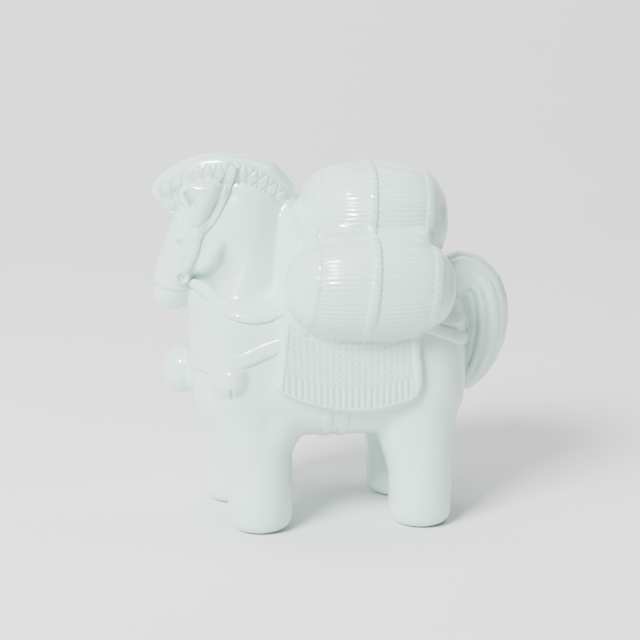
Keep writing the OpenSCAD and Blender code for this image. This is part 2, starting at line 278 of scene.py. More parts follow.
tail_row = [(41, 0, 80.4, 6, 9, 8.6), (45, 0, 82.8, 6, 7.8, 7.8), (49.5, 0, 82.2, 6.6, 7, 7.4),
            (52.8, 0, 78.6, 7.6, 7.4, 7), (54.4, 0, 73.4, 8, 7.8, 7), (55, 0, 67, 8, 7.8, 7),
            (54.6, 0, 60.8, 7.6, 7.4, 6.8), (53, 0, 54.6, 6.6, 6.8, 6), (50.8, 0, 49.2, 5.4, 5.6, 5),
            (48.4, 0, 45.2, 3.6, 4, 3.6)]
tail = lump("tail", tail_row)
print("mane, ears and tail:", [len(o.data.vertices) for o in (mane, ears["left"], tail)])

# %% [markdown]
# ## Bales
# A bale is a barrel of straw whose ends are rounded but still a little square. It starts as a
# ball with its poles turned to the ends. Each ring is then moved out by the rule of a
# superellipse, so the middle stays full and the ends turn over quickly.

# %% Three bales
BALE_POWER = 2.8  # 2 would be a ball, more is squarer


def fullness(t):
    """How full a bale is, from 0 to 1, at t of its half length from the middle."""
    return (1 - abs(t) ** BALE_POWER) ** (1 / BALE_POWER)


def bale_lump(name, x, y, z, half_l, ry, rz):
    """A bale with its middle at (x, y, z), its half length and its two radii."""
    bpy.ops.mesh.primitive_uv_sphere_add(segments=64, ring_count=40, radius=1, rotation=(0, math.pi / 2, 0))
    bpy.ops.object.transform_apply(location=False, rotation=True, scale=False)
    o = bpy.context.object
    for v in o.data.vertices:
        t = max(-1, min(1, v.co.x))
        now = math.hypot(v.co.y, v.co.z)
        if now > 1e-4:  # the two poles stay where they are
            v.co.y *= fullness(t) / now
            v.co.z *= fullness(t) / now
    o.scale = (half_l * MM, ry * MM, rz * MM)
    o.location = at(x, y, z)
    bpy.ops.object.transform_apply(location=True, rotation=True, scale=True)
    o.name = name
    return o


SIDE_BALE = dict(x=10, z=82.6, half_l=27.7, ry=15.7, rz=16.2)
TOP_BALE = dict(x=14.5, y=0, z=102.2, half_l=25.3, ry=24, rz=19.2)
SIDE_BALE_Y = 26
bales = {"left": bale_lump("bale_l", y=-SIDE_BALE_Y, **SIDE_BALE),
         "right": bale_lump("bale_r", y=SIDE_BALE_Y, **SIDE_BALE),
         "top": bale_lump("bale_t", **TOP_BALE)}
print("bales:", [len(o.data.vertices) for o in bales.values()])

# %% [markdown]
# ## Saddle cloth and bells
# The cloth hangs straight down both sides of the barrel. It is cut from a barrel that is a
# little fatter than the horse: the Bisect tool slices off what lies in front of the front
# hem, behind the rear hem, and below the curved lower edge. The bells start as balls on the
# chest.

# %% Cloth, cut from a fatter barrel
CLOTH_T = 3.4  # mm, how far the cloth stands off the barrel
HEM_Z = 50  # mm, the height at which the two upright hems are placed
FRONT_X, FRONT_LEAN = -21, 0.12
REAR_X, REAR_LEAN = 27.3, 0.07
LOW_X, LOW_Z, HEM_BEND = 6, 42.5, 0.0105  # the lowest place of the curved edge
cloth = wrap([barrel_lump(CLOTH_T)])
cloth.name = "cloth"


def slice_off(o, x, z, nx, nz):
    """Cut o with a plane through (x, z) and throw away the side that the arrow (nx, nz) points to."""
    pick(o)
    bpy.ops.object.mode_set(mode="EDIT")
    bpy.ops.mesh.select_all(action="SELECT")
    bpy.ops.mesh.bisect(plane_co=at(x, 0, z), plane_no=(nx, 0, nz), use_fill=True, clear_outer=True)
    bpy.ops.object.mode_set(mode="OBJECT")


def hem_z(x):
    """Height of the lower edge of the cloth."""
    return LOW_Z + HEM_BEND * (x - LOW_X) ** 2


slice_off(cloth, FRONT_X, HEM_Z, -1, FRONT_LEAN)  # the front hem leans back a little
slice_off(cloth, REAR_X, HEM_Z, 1, REAR_LEAN)  # and the rear hem forwards
for x in (-20, -14, -8, -2, 3, 8, 13, 18, 22):  # short cuts round the lower edge
    slice_off(cloth, x, hem_z(x), 2 * HEM_BEND * (x - LOW_X), -1)
slice_off(cloth, 25.2, 47.2, 0.66, -0.75)  # the rear corner is rounded
slice_off(cloth, 26.6, 49.6, 0.9, -0.45)
bells = {"left": ball(-35.4, -23.4, 52.9, 6.9, 6.9, 6.9),
         "right": ball(-35.4, 23.4, 52.9, 6.9, 6.9, 6.9),
         "front": ball(-50.9, 0, 51.5, 6.4, 7.5, 8.2)}
print("cloth:", len(cloth.data.vertices), "vertices")

# %% [markdown]
# ## One skin of glaze
# Glaze runs into every corner while it melts. A voxel remesh over a copy of all the lumps
# gives one closed skin, and the Smooth modifier lets it settle, so each joint becomes a soft
# valley. Where two bales meet, the valley is filled with extra glaze first, because there it
# is so wide that the bales look like one load, and so is the small corner between ear and
# mane. A second skin over the horse alone is kept, for the straps that lie under the rest.

# %% Draw the skins
lumps = {"horse_casting": horse, "mane_and_forelock": mane, "ear_left": ears["left"],
         "ear_right": ears["right"], "tail": tail, "saddle_cloth": cloth,
         "bale_left": bales["left"], "bale_right": bales["right"], "bale_top": bales["top"],
         "bell_left": bells["left"], "bell_right": bells["right"], "bell_front": bells["front"]}
VOXEL = 0.7  # mm, how fine the skins are
SETTLE = 22  # how many rounds of smoothing let them settle


def skin_over(objects, name):
    """One closed, settled skin over copies of the objects."""
    copies = []
    for o in objects:
        c = o.copy()
        c.data = o.data.copy()
        bpy.context.collection.objects.link(c)
        copies.append(c)
    o = join(copies, name)
    modifier(o, "one skin", "REMESH", mode="VOXEL", voxel_size=VOXEL * MM)
    modifier(o, "settle", "SMOOTH", factor=0.5, iterations=SETTLE)
    apply_all(o)
    return o


fillings = []
for side in (-1, 1):
    valley = [(-6, side * 21.5, 97, 6, 5, 5.6), (26.5, side * 21.5, 97, 5, 4.8, 5.2)]
    corner = [(-38.6, side * 8.4, 113.6, 2.6, 2.2, 2.6), (-36.8, side * 8, 111.6, 2.2, 2, 2.6)]
    fillings += [lump("filling", valley), lump("filling", corner)]
glaze_skin = skin_over(list(lumps.values()) + fillings, "glaze_skin")
horse_skin = skin_over([horse], "horse_skin")
print("glaze skin:", len(glaze_skin.data.polygons), "faces")

# %% [markdown]
# ## Cut the skin apart along the joints
# Every face of the skin belongs to the lump that lies nearest to it. Only the lumps whose
# boxes it lies in are asked, which saves most of the work.

# %% Hand out the faces
NEARBY = 3  # mm, how much wider than its lump a box is


def tree(o):
    """A search tree over the faces of o."""
    return BVHTree.FromPolygons([v.co for v in o.data.vertices], [p.vertices for p in o.data.polygons])


names = list(lumps)
trees = [tree(lumps[n]) for n in names]
boxes = []
for n in names:
    co = np.array([v.co for v in lumps[n].data.vertices])
    boxes.append((co.min(0) - NEARBY * MM, co.max(0) + NEARBY * MM))
mesh = glaze_skin.data
centres = np.empty(len(mesh.polygons) * 3)
mesh.polygons.foreach_get("center", centres)
centres = centres.reshape(-1, 3)
inside = [np.all((centres > lo) & (centres < hi), axis=1) for lo, hi in boxes]
owner = np.zeros(len(centres), int)
for f, c in enumerate(centres):
    best = 1.0  # m, further away than any lump
    for k in range(len(names)):
        if inside[k][f]:
            hit = trees[k].find_nearest(Vector(c), best)
            if hit[0] is not None and hit[3] < best:
                best, owner[f] = hit[3], k
print("faces handed out:", {n: int((owner == k).sum()) for k, n in enumerate(names)})

# %% [markdown]
# ## Calm the borders
# The borders come out ragged. Four times over, a face that has hardly a neighbour of its own
# kind joins the majority around it. A patch too small to be a piece, a splinter, then goes to
# the piece that surrounds it.

# %% Majority and splinters
CALM_ROUNDS = 4
SPLINTER = 200  # a patch of fewer faces than this goes to its neighbour
bm = bmesh.new()
bm.from_mesh(mesh)
bm.faces.ensure_lookup_table()
for _ in range(CALM_ROUNDS):
    new = owner.copy()
    for f in bm.faces:
        near = [owner[g.index] for e in f.edges for g in e.link_faces if g is not f]
        if near.count(owner[f.index]) <= 1 and near:
            new[f.index] = max(set(near), key=near.count)
    owner = new
seen = set()
for f in bm.faces:
    if f.index in seen:
        continue
    island, ahead = [], [f]
    seen.add(f.index)
    while ahead:
        g = ahead.pop()
        island.append(g.index)
        for h in (h for e in g.edges for h in e.link_faces):
            if h.index not in seen and owner[h.index] == owner[f.index]:
                seen.add(h.index)
                ahead.append(h)
    if len(island) < SPLINTER:
        near = [owner[h.index] for i in island for e in bm.faces[i].edges for h in e.link_faces
                if owner[h.index] != owner[i]]
        print("splinter of", names[owner[f.index]], "with", len(island), "faces")
        if near:
            owner[island] = max(set(near), key=near.count)
bm.free()

# %% [markdown]
# ## Part the pieces
# Each lump gets a material slot, the faces are handed out to the slots, and Separate by
# Material splits the skin. The pieces share their borders exactly, so the joints stay closed.
# The whole skin is kept as well, because the straps will be laid on it.

# %% Separate by material
for n in names:
    mesh.materials.append(bpy.data.materials.new("part " + n))
mesh.polygons.foreach_set("material_index", owner)
cut = glaze_skin.copy()
cut.data = mesh.copy()
bpy.context.collection.objects.link(cut)
pick(cut)
before = set(bpy.data.objects)
bpy.ops.mesh.separate(type="MATERIAL")
pieces = {}
for o in [cut] + [o for o in bpy.data.objects if o not in before]:
    n = o.data.materials[o.data.polygons[0].material_index].name.removeprefix("part ")
    o.data.materials.clear()
    o.name = o.data.name = "glazed_" + n
    pieces[n] = o
print({n: len(o.data.polygons) for n, o in pieces.items()})

# %% [markdown]
# ## Pressing relief into a piece
# Relief is made as a potter makes it, by pressing tools into soft clay. In Blender that is a
# vertex group, painted with how hard each spot is pressed, and a Displace modifier that moves
# the group along the normals. Near a joint the pressing fades out, because glaze fills the
# valleys and because the borders of neighbouring pieces have to stay together. How hard each
# spot was pressed is also kept as an attribute called pool, for the finish: glaze
# lies thicker, and looks greener, where the relief is deep, and the finish also paints shade
# there, so every groove, dimple and furrow is painted darker than the glaze around it. A piece
# that was cut from the skin is open at its border, so at the end the border is tucked in under
# the skin and drawn together.

# %% Refine, press and close
TUCK = 2.2  # mm, how deep the border of a piece is tucked in
SKIP = 0.004  # a weaker pressing than this is left out


def slope(distance, width):
    """0 up to no distance, rising evenly to 1 over the width."""
    return np.clip(distance / width, 0, 1)


def groove(distance, width):
    """A soft groove: 1 in its middle, next to nothing beyond its width."""
    return np.exp(-(distance / (width / 2)) ** 2)


def waves(distance, pitch):
    """Even waves between 0 and 1, with 1 at every whole pitch."""
    return 0.5 + 0.5 * np.cos(distance * 2 * math.pi / pitch)


def border_fade(o, reach):
    """0 at the open border of a piece, rising to 1 at the given distance from it."""
    count = {}
    for p in o.data.polygons:
        for k in p.edge_keys:
            count[k] = count.get(k, 0) + 1
    rim = {v for k, n in count.items() if n == 1 for v in k}
    if not rim:
        return np.ones(len(o.data.vertices))
    kd = KDTree(len(rim))
    for i in rim:
        kd.insert(o.data.vertices[i].co, i)
    kd.balance()
    d = slope(np.array([kd.find(v.co)[2] for v in o.data.vertices]) / MM, reach)
    return d * d * (3 - 2 * d)


def refine(o, cuts, where=None):
    """Subdivide the faces whose middles pass the test, and settle all but the border."""
    pick(o)
    bpy.ops.object.mode_set(mode="EDIT")
    bpy.ops.mesh.select_mode(type="FACE")
    bpy.ops.mesh.select_all(action="SELECT" if where is None else "DESELECT")
    if where is not None:
        bm = bmesh.from_edit_mesh(o.data)
        for f in bm.faces:
            c = f.calc_center_median() / MM
            if where(c.x - SHIFT, c.y, c.z):
                f.select_set(True)
        bmesh.update_edit_mesh(o.data)
    bpy.ops.mesh.subdivide(number_cuts=cuts)
    bpy.ops.object.mode_set(mode="OBJECT")
    weigh(o, "inner", border_fade(o, 1.2))
    modifier(o, "settle", "SMOOTH", vertex_group="inner", factor=0.5, iterations=4)
    apply_all(o)
    o.vertex_groups.clear()


def press(o, depth, weight, fade=1.0):
    """Press a piece in by depth millimetres where weight is 1; a negative depth raises it."""
    weight = np.clip(weight * fade, 0, 1)
    weigh(o, "press", np.where(weight > SKIP, weight, 0))
    modifier(o, "press", "DISPLACE", vertex_group="press", mid_level=0, strength=-depth * MM)
    apply_all(o)
    o.vertex_groups.clear()
    # Every pressed spot is also painted greener and darker in the finish: partly the tint of pooled glaze,
    # partly painted shade in the hollow.
    if depth > 0:
        pool = o.data.attributes.get("pool") or o.data.attributes.new("pool", "FLOAT", "POINT")
        was = np.empty(len(o.data.vertices), np.float32)
        pool.data.foreach_get("value", was)
        pool.data.foreach_set("value", np.clip(was + weight * min(1, depth), 0, 1).astype(np.float32))


def close_holes(o):
    """Tuck each open border in and draw each loop of it together, so that the piece is solid."""
    bm = bmesh.new()
    bm.from_mesh(o.data)
    border = [e for e in bm.edges if e.is_boundary]
    inward = {v.co.to_tuple(9): -v.normal for e in border for v in e.verts}
    for e in border:
        e.smooth = False
    new = bmesh.ops.extrude_edge_only(bm, edges=border)["geom"]
    for v in new:
        if isinstance(v, bmesh.types.BMVert):
            v.co += inward[v.co.to_tuple(9)] * TUCK * MM
    bm.edges.index_update()
    rim = {g for g in new if isinstance(g, bmesh.types.BMEdge) and g.is_boundary}
    while rim:
        first = min(rim, key=lambda e: e.index)
        rim.remove(first)
        loop, ahead = {first}, [first]
        while ahead:
            nearby = {g for v in ahead.pop().verts for g in v.link_edges if g in rim}
            loop |= nearby
            rim -= nearby
            ahead += nearby
        deep = bmesh.ops.extrude_edge_only(bm, edges=sorted(loop, key=lambda e: e.index))["geom"]
        verts = [v for v in deep if isinstance(v, bmesh.types.BMVert)]
        middle = sum((v.co for v in verts), Vector()) / len(verts)
        bmesh.ops.pointmerge(bm, verts=verts, merge_co=middle)
    bm.to_mesh(o.data)
    bm.free()


def along(line, x, z):
    """Distance along a drawn line and distance to the left of it, for points of the side view."""
    line = np.asarray(line, float)
    best = np.full(len(x), math.inf)
    s_out, u_out, start = np.zeros(len(x)), np.zeros(len(x)), 0.0
    for a, b in zip(line, line[1:]):
        d = b - a
        length = math.hypot(*d)
        t = np.clip(((x - a[0]) * d[0] + (z - a[1]) * d[1]) / length ** 2, 0, 1)
        dx, dz = x - a[0] - t * d[0], z - a[1] - t * d[1]
        far = np.hypot(dx, dz)
        near = far < best
        best[near] = far[near]
        s_out[near] = (start + t * length)[near]
        u_out[near] = (np.sign(d[0] * dz - d[1] * dx) * far)[near]
        start += length
    return s_out, u_out


# %% [markdown]
# ## Straw
# Straw lies along the bale, so the grooves run from end to end. They are counted round the
# bale, and at the ends they turn in a swirl, as the ends of the straw are twisted shut.

# %% Press the straw
STRAW_DEPTH = 0.24  # mm
SIDE_STALKS, TOP_STALKS = 60, 78  # grooves counted round a bale


def press_straw(o, y, spec, stalks):
    """Grooves along the bale, twisted together at its ends and pressed unevenly."""
    refine(o, 1)
    p = places(o)
    t = (p[:, 0] - spec["x"]) / spec["half_l"]
    turn = np.arctan2((p[:, 2] - spec["z"]) / spec["rz"], (p[:, 1] - y) / spec["ry"])
    swirl = slope(np.abs(t) - 0.78, 1) * 3.2
    wobble = 0.25 * np.sin(t * 9 + 5 * turn) + 0.2 * np.sin(t * 23 + 11 * turn)
    w = (0.5 + 0.5 * np.cos(stalks * (turn + swirl) + wobble)) ** 1.4
    w *= 1 - 0.75 * slope(np.abs(t) - 0.9, 0.1)
    patchy = 0.62 + 0.38 * np.sin(3.1 * turn + 4 * t) * np.cos(5.3 * turn - 3 * t + 1)
    press(o, STRAW_DEPTH, w * patchy, border_fade(o, 1.6))


press_straw(pieces["bale_left"], -SIDE_BALE_Y, SIDE_BALE, SIDE_STALKS)
press_straw(pieces["bale_right"], SIDE_BALE_Y, SIDE_BALE, SIDE_STALKS)
press_straw(pieces["bale_top"], 0, TOP_BALE, TOP_STALKS)
print("straw:", {n: len(pieces[n].data.polygons) for n in ("bale_left", "bale_top")})

# %% [markdown]
# ## Weave, hem and fringe
# The cloth has a rolled hem at the front and at the rear, rows of little dimples where the
# weave shows, and a fringe of upright grooves along the lower edge.

# %% Press the cloth
FRINGE_H = 8.2  # mm, height of the fringe
FRINGE_PITCH = 2.05  # mm, from one strand of the fringe to the next
ROW_PITCH, STITCH_PITCH = 2.3, 2.1  # mm, between the dimples of the weave
cloth_piece = pieces["saddle_cloth"]
refine(cloth_piece, 2)
p = places(cloth_piece)
x, z = p[:, 0], p[:, 2]
fade = border_fade(cloth_piece, 1.2)
front_edge = FRONT_X + FRONT_LEAN * (z - HEM_Z)
rear_edge = REAR_X - REAR_LEAN * (z - HEM_Z)
panel = slope(x - front_edge - 1.5, 0.8) * slope(rear_edge - 2.4 - x, 1.0)
panel *= slope(z - hem_z(x) - 1.0, 0.6)  # the field that the three hems enclose
band = hem_z(x) + FRINGE_H  # where the fringe ends and the weave starts
fringe = slope(band - z, 0.5) * panel
weave = slope(z - band - 0.6, 0.5) * panel
press(cloth_piece, 0.3, panel, fade)
press(cloth_piece, 0.3, fringe * waves(x, FRINGE_PITCH) ** 2.2, fade)
dimples = waves(z - hem_z(x), ROW_PITCH) ** 1.2 * waves(x, STITCH_PITCH) ** 1.2
press(cloth_piece, 0.24, weave * dimples, fade)
press(cloth_piece, 0.12, groove(z - band, 0.8) * panel, fade)
print("cloth:", len(cloth_piece.data.polygons), "faces")

# %% [markdown]
# ## Hair
# The crest has a smooth rim, and inside it pairs of short strokes that lean together like the
# letter V. The tail has long flutes that follow its bend.

# %% Press the mane and the tail
PITCH = 3.8  # mm from one V of the mane to the next
mane_piece = pieces["mane_and_forelock"]
refine(mane_piece, 2)
p = places(mane_piece)
crest_line = [(-58, 111.2), (-53.2, 114.6), (-48.4, 116.6), (-42, 118.6), (-35, 119.3), (-28.5, 118.3),
              (-22.8, 115.4), (-16, 110)]
s, u = along(crest_line, p[:, 0], p[:, 2])
fade = border_fade(mane_piece, 0.9)
inside_rim = slope(4 - u, 0.8) * slope(np.abs(p[:, 1]) - 2.6, 1.2)
press(mane_piece, 0.4, inside_rim, fade)
lean = 0.42 * (u + 0.5)
strokes = [groove((s + way * lean) % PITCH - PITCH / 2, 0.9) for way in (1, -1)]
press(mane_piece, 0.36, np.maximum(*strokes) * slope(3.4 - u, 1.2) * inside_rim, fade)

FLUTES = 11  # counted round the tail
tail_piece = pieces["tail"]
refine(tail_piece, 2)
p = places(tail_piece)
tail_line = [(b[0], b[2]) for b in tail_row]
s, u = along(tail_line, p[:, 0], p[:, 2])
turn = np.arctan2(np.abs(p[:, 1]), u * 0.95)
flutes = (0.5 + 0.5 * np.cos(turn * FLUTES + 0.6)) ** 1.6
ends = slope(s - 5, 10) * slope(s.max() - s, 6)
inner = 0.7 + 0.3 * np.clip(-u / 4, -1, 1)  # deeper inside the bend than outside
off_middle = slope(np.abs(p[:, 1]) - 0.8, 1)
press(tail_piece, 0.75, flutes * ends * inner * off_middle, border_fade(tail_piece, 1.0))
print("mane and tail:", len(mane_piece.data.polygons), len(tail_piece.data.polygons), "faces")

# %% [markdown]
# ## Face
# The eyes are small round dimples, the mouth is one line, and a deep soft furrow runs up
# behind the cheek and sets the head off from the neck.

# %% Press the eyes, the mouth and the jaw
casting = pieces["horse_casting"]
refine(casting, 1, lambda x, y, z: x < -38 and z > 74)
p = places(casting)
x, y, z = p.T
fade = border_fade(casting, 1.0)
from_eye = np.hypot(x + 50.9, z - 96)
press(casting, 0.9, slope(1.5 - from_eye, 0.7) * slope(np.abs(y) - 3, 2), fade)
s, u = along([(-61, 82), (-57.6, 80.8), (-54.6, 79.8), (-51.5, 79.3), (-47.5, 79.2)], x, z)
press(casting, 0.5, groove(u, 1.0) * (s > 0.01) * slope(-x - 47.8, 1), fade)
jaw_line = [(-48.4, 80.6), (-45.4, 83.2), (-41.4, 86.4), (-38, 90), (-35.8, 95), (-35, 99)]
s, u = along(jaw_line, x, z)
furrow = np.where(u > 0, np.exp(-(u / 1.8) ** 2), np.exp(-(u / 5) ** 2))
furrow *= slope(s, 4) * slope(23 - s, 7) * slope(np.abs(y) - 5, 3)
# This deep press also paints the furrow darker in the finish: partly pooled glaze, partly painted shade
# behind the cheek.
press(casting, 4, furrow, fade)
print("casting:", len(casting.data.polygons), "faces")

# %% [markdown]
# ## Straps
# A strap is a long strip of faces. It starts as a flat grid whose rows are moved onto a smooth
# line. It is shrink-wrapped to the skin below and evened out a little, and then its faces are
# lifted in the middle with a Displace modifier while its edges dip just under the glaze.
# Solidify gives it its inside.

# %% Lay a strap
SINK = 0.42  # mm, how deep the edges of a strap lie in the glaze
REACH = 32  # mm, how far a strap looks for the skin
INSIDE = 0.9  # mm, how far the inside of a strap lies below its face
CURVE_STEPS = 24  # steps of a curve from one drawn point to the next


def smooth_line(points, step):
    """Resample a drawn line with even steps and rounded corners (a Catmull-Rom curve)."""
    pts = np.asarray(points, float)
    ext = np.vstack([2 * pts[0] - pts[1], pts, 2 * pts[-1] - pts[-2]])
    fine = []
    for a, b, c, d in zip(ext, ext[1:], ext[2:], ext[3:]):
        t = np.linspace(0, 1, CURVE_STEPS, endpoint=False)[:, None]
        fine.append(0.5 * (2 * b + (c - a) * t + (2 * a - 5 * b + 4 * c - d) * t ** 2
                           + (3 * b - a - 3 * c + d) * t ** 3))
    fine = np.vstack(fine + [pts[-1:]])
    s = np.concatenate([[0], np.cumsum(np.linalg.norm(np.diff(fine, axis=0), axis=1))])
    n = max(4, round(s[-1] / step))
    even = np.linspace(0, s[-1], n + 1)
    return np.stack([np.interp(even, s, fine[:, k]) for k in range(3)], axis=1), s[-1]


def down_to(skin, o):
    """Press o onto the skin along its own normals, and whatever misses it onto the nearest place."""
    modifier(o, "down to the skin", "SHRINKWRAP", target=skin, wrap_method="PROJECT",
             project_limit=REACH * MM, use_negative_direction=True, use_positive_direction=True)
    modifier(o, "whatever missed it", "SHRINKWRAP", target=skin, wrap_method="NEAREST_SURFACEPOINT")
    apply_all(o)


def unit(vectors):
    """The same arrows, each of length 1."""
    return vectors / np.linalg.norm(vectors, axis=1)[:, None]


def rounded(s, length, tip, least):
    """How wide a strap is at s of its length when its two ends are rounded over the tip."""
    if not tip:
        return np.ones(len(s))
    e = slope(np.minimum(s, length - s), tip)
    return np.sqrt(np.clip(1 - (1 - e) ** 2, least, 1))


def face_up(o, face, up):
    """Turn all the faces so that this one looks the way of the arrow up."""
    pick(o)
    bpy.ops.object.mode_set(mode="EDIT")
    bpy.ops.mesh.select_all(action="SELECT")
    bpy.ops.mesh.normals_make_consistent(inside=False)
    bpy.ops.object.mode_set(mode="OBJECT")
    if o.data.polygons[face].normal.dot(Vector(up)) < 0:
        o.data.flip_normals()


def lay_strap(name, points, normals, width, rise, skin, step=0.5, across=16, profile=None,
              tip=0.0, even=6):
    """A strap along points; normals(line) says which way is up from the skin at each place."""
    line, length = smooth_line(points, step)
    rows = len(line)
    bpy.ops.mesh.primitive_grid_add(x_subdivisions=across, y_subdivisions=rows - 1, size=1)
    o = bpy.context.object
    o.name = o.data.name = name
    ahead = unit(np.gradient(line, axis=0))
    up = normals(line)
    up = unit(up - (up * ahead).sum(1)[:, None] * ahead)
    side = np.cross(ahead, up)
    u = np.linspace(-1, 1, across + 1)
    s = np.linspace(0, length, rows)
    narrow = rounded(s, length, tip, 0.02)
    sideways_by = u[None, :, None] * width / 2 * narrow[:, None, None]
    co = line[:, None, :] + side[:, None, :] * sideways_by
    co = co + up[:, None, :] * 1.5
    co = (co + np.array([SHIFT, 0, 0])) * MM
    o.data.vertices.foreach_set("co", co.reshape(-1))
    face_up(o, (rows // 2) * across + across // 2, up[rows // 2])
    down_to(skin, o)
    modifier(o, "even out", "SMOOTH", factor=0.5, iterations=even)
    apply_all(o)
    s, u = np.repeat(s, across + 1), np.tile(u, rows)
    hump = np.sqrt(np.clip(1 - np.abs(u) ** 2.6, 0, 1)) if profile is None else profile(s, u)
    hump = hump * rounded(s, length, tip, 0)
    lift = (hump * (rise + SINK) - SINK) / rise
    for sign in (1, -1):
        weigh(o, "lift", np.clip(lift * sign, 0, 1))
        modifier(o, "lift", "DISPLACE", vertex_group="lift", mid_level=0, strength=sign * rise * MM)
        apply_all(o)
        o.vertex_groups.clear()
    # The edges of a strap are painted darker and greener in the finish: partly glaze pooled along them,
    # partly painted shade where the strap meets the skin.
    pool = o.data.attributes.new("pool", "FLOAT", "POINT")
    pool.data.foreach_set("value", np.clip(1 - hump, 0, 1).astype(np.float32) * 0.8)
    modifier(o, "inside", "SOLIDIFY", thickness=INSIDE * MM, offset=-1)
    apply_all(o)
    return o

# %% [markdown]
# ## Reins and cheek straps
# These lie flat on the sides of the head and the neck. Each line is drawn once in the side
# view and used on the left and on the right.

# %% Straps on the sides
OUT = 30  # mm, how far to the side a side-view line is drawn


def both_sides(points):
    """The same drawn side-view line on the left and on the right."""
    left, right = ([(x, side * OUT, z) for x, z in points] for side in (-1, 1))
    return {"left": left, "right": right}


def sideways(side):
    """Up is straight out to the side."""
    return lambda line: np.tile([0, side, 0], (len(line), 1)).astype(float)


def outward(x=0, z=None):
    """Up is away from the standing axis at x; with a z, away from the lying axis at that height."""
    def normals(line):
        n = line - np.array([x, 0, z or 0])
        n[:, 2 if z is None else 0] = 0
        return unit(n)
    return normals


straps = {}
for word, sign in (("left", -1), ("right", 1)):
    n = "cheek_strap_" + word
    cheek = both_sides([(-44.9, 99.2), (-45.2, 95.3), (-46.7, 91), (-48.8, 86.6)])[word]
    straps[n] = lay_strap("glazed_" + n, cheek, sideways(sign), 3.2, 0.8, glaze_skin, 0.3, 10)
    n = "rein_" + word
    rein = both_sides([(-49, 82.2), (-44.9, 82), (-41.3, 80), (-38.2, 77.2), (-34.3, 74.7),
                       (-30, 73.6), (-25.4, 73.5), (-17.4, 75.2)])[word]
    straps[n] = lay_strap("glazed_" + n, rein, sideways(sign), 4.8, 1.1, glaze_skin, 0.4, 14, tip=6)
print("side straps:", {n: len(o.data.polygons) for n, o in straps.items()})

# %% [markdown]
# ## Bands round the animal
# The collar, the breeching and the girths lie on the horse alone, because they run on beneath
# the cloth, the bells and the tail. Each one follows a line drawn in the side view, wrapped
# round the body at both ends.

# %% Collar, breeching and girths
def round_the(end_x, axis_x, half_y, line):
    """A side-view line on the left, round the end of the body, and back on the right."""
    reach = abs(end_x - axis_x)
    row = []
    for x, z in line:
        t = min(1, max(0, (x - axis_x) * (1 if end_x > axis_x else -1) / reach))
        row.append((x, -half_y * math.sqrt(1 - t * t), z))
    return row + [(x, -y, z) for x, y, z in reversed(row[:-1])]


CHEST_X, RUMP_X = -48.6, 47.2  # mm, the two ends of the body
BODY_Y = 27.5  # mm, half the width at which the bands are drawn
GIRTH_Z = 50  # mm, the height that the girths run round
collar_line = round_the(CHEST_X, -32, BODY_Y, [
    (-10, 66.2), (-18, 64.6), (-24.6, 62.6), (-29, 60.8), (-35.3, 58.6),
    (-40.5, 57.6), (-44.5, 57.7), (-47.4, 58), (CHEST_X, 58.2)])
upper_line = round_the(RUMP_X, 31, BODY_Y, [
    (22, 74), (30, 73), (38, 71.2), (42, 70), (45.5, 69.6), (RUMP_X, 69.4)])
lower_line = round_the(RUMP_X, 31, BODY_Y, [
    (22, 70.6), (30, 69), (38, 66), (42, 63.9), (45.5, 62.9), (RUMP_X, 62.6)])
for name, line, axis_x, width, rise in (("breast_collar", collar_line, -31, 6, 1.1),
                                        ("breeching_upper", upper_line, 31, 5.2, 0.55),
                                        ("breeching_lower", lower_line, 31, 5, 0.85)):
    straps[name] = lay_strap("glazed_" + name, line, outward(axis_x), width, rise, horse_skin)
for name, x0, x1 in (("girth_front", -6.4, -1.6), ("girth_rear", -0.8, 3.8)):
    belly = [((x0 + x1) / 2, 28.5 * math.cos(a), GIRTH_Z + 19.5 * math.sin(a))
             for a in np.radians(np.linspace(172, 368, 15))]
    straps[name] = lay_strap("glazed_" + name, belly, outward(0, GIRTH_Z), x1 - x0, 0.45, horse_skin)
print("bands:", {n: len(o.data.polygons) for n, o in straps.items()})

# %% [markdown]
# ## Halter
# The headstall comes down from the mane on both sides, and the browband meets it below the
# ear. A low rosette covers the place where they meet, and a ring sits at the corner of the
# mouth. Both are round plates that are pressed onto the skin and raised by a profile.

# %% Headstall, browband, rosettes and bit rings
DISC_RINGS = 7  # insets from the edge of a plate to its middle
DISC_TOP = 2  # mm, no plate is raised higher than this


